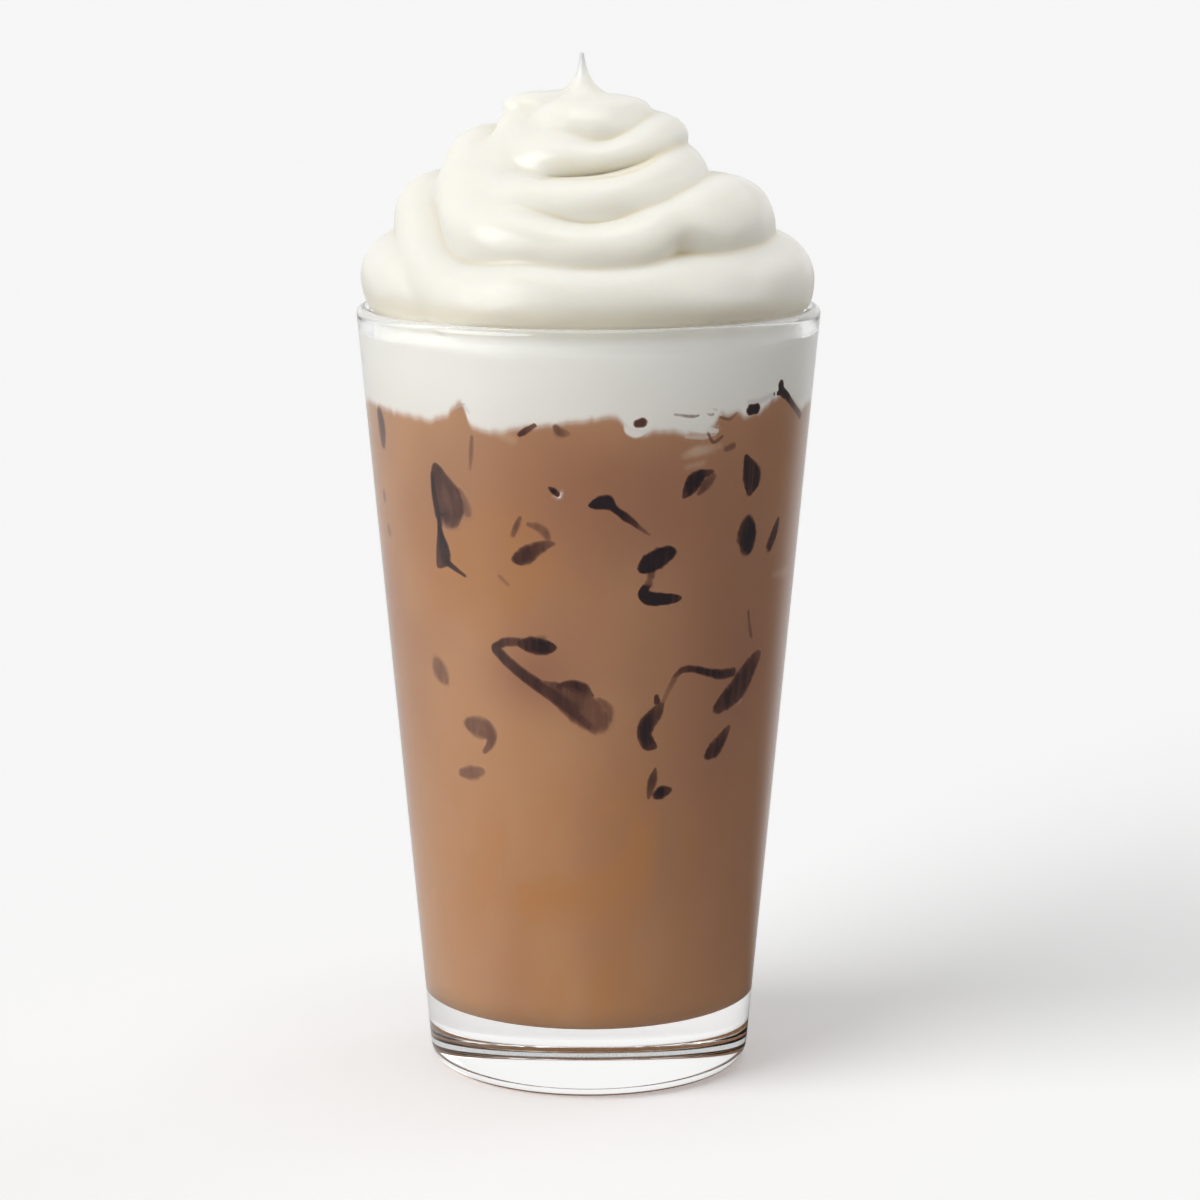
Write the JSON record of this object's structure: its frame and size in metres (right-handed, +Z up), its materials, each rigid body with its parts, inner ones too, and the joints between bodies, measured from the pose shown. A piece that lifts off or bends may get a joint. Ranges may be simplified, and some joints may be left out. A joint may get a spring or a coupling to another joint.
{
  "type": "iced mocha",
  "caption": "Iced mocha in a tapered pint glass, topped above the rim with a spiral swirl of whipped cream drawn up to a point.",
  "frame": {"origin": "middle of the glass's foot, on the surface that it stands on", "axes": "+Z up along the glass's axis; -Y is the side shown, +X to its right"},
  "size_m": [0.0888, 0.0888, 0.1972],
  "materials": {
    "glass": "clear, smooth",
    "mocha": "milky iced coffee, opaque",
    "whipped_cream": "smooth whipped cream, slightly wet"
  },
  "bodies": {
    "root": {"glass": "glass", "mocha": "mocha", "whipped_cream": "whipped_cream"}
  },
  "joints": []
}
